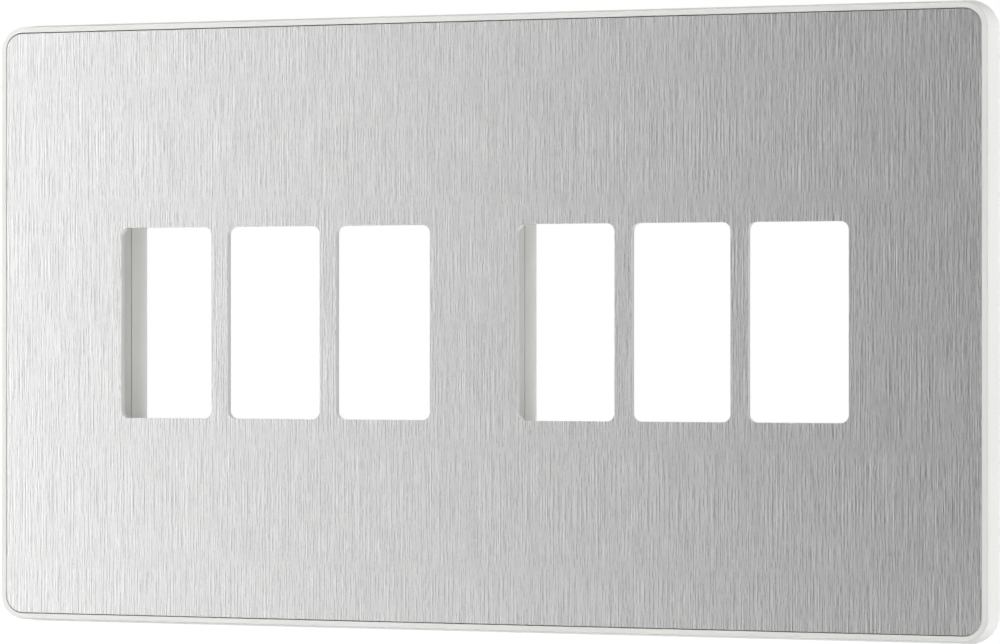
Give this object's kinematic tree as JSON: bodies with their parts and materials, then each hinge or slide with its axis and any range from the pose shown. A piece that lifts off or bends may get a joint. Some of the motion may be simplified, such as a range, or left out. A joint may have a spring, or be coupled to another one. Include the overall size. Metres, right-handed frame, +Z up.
{
  "type": "grid switch plate",
  "caption": "Double-width screwless grid switch plate: brushed steel facia with two groups of three module openings, lying in a flared white rim.",
  "frame": {"origin": "the centre of the plane of the wall, on which the rim and the fixing frame lie", "axes": "+X runs across the width to the right as seen from the front, +Y points into the wall, so the front faces -Y, and +Z is up"},
  "size_m": [0.15, 0.0108, 0.09],
  "materials": {
    "facia_steel": "fine vertical brushing, satin",
    "moulding_white": "satin white moulding",
    "film_clear": "clear adhesive film",
    "spring_bronze": "bright rolled bronze strip"
  },
  "bodies": {
    "root": {"facia_plate": "facia_steel", "bonding_film": "film_clear", "carrier_frame": "moulding_white", "fixing_frame": "moulding_white", "earth_spring": "spring_bronze"}
  },
  "joints": []
}
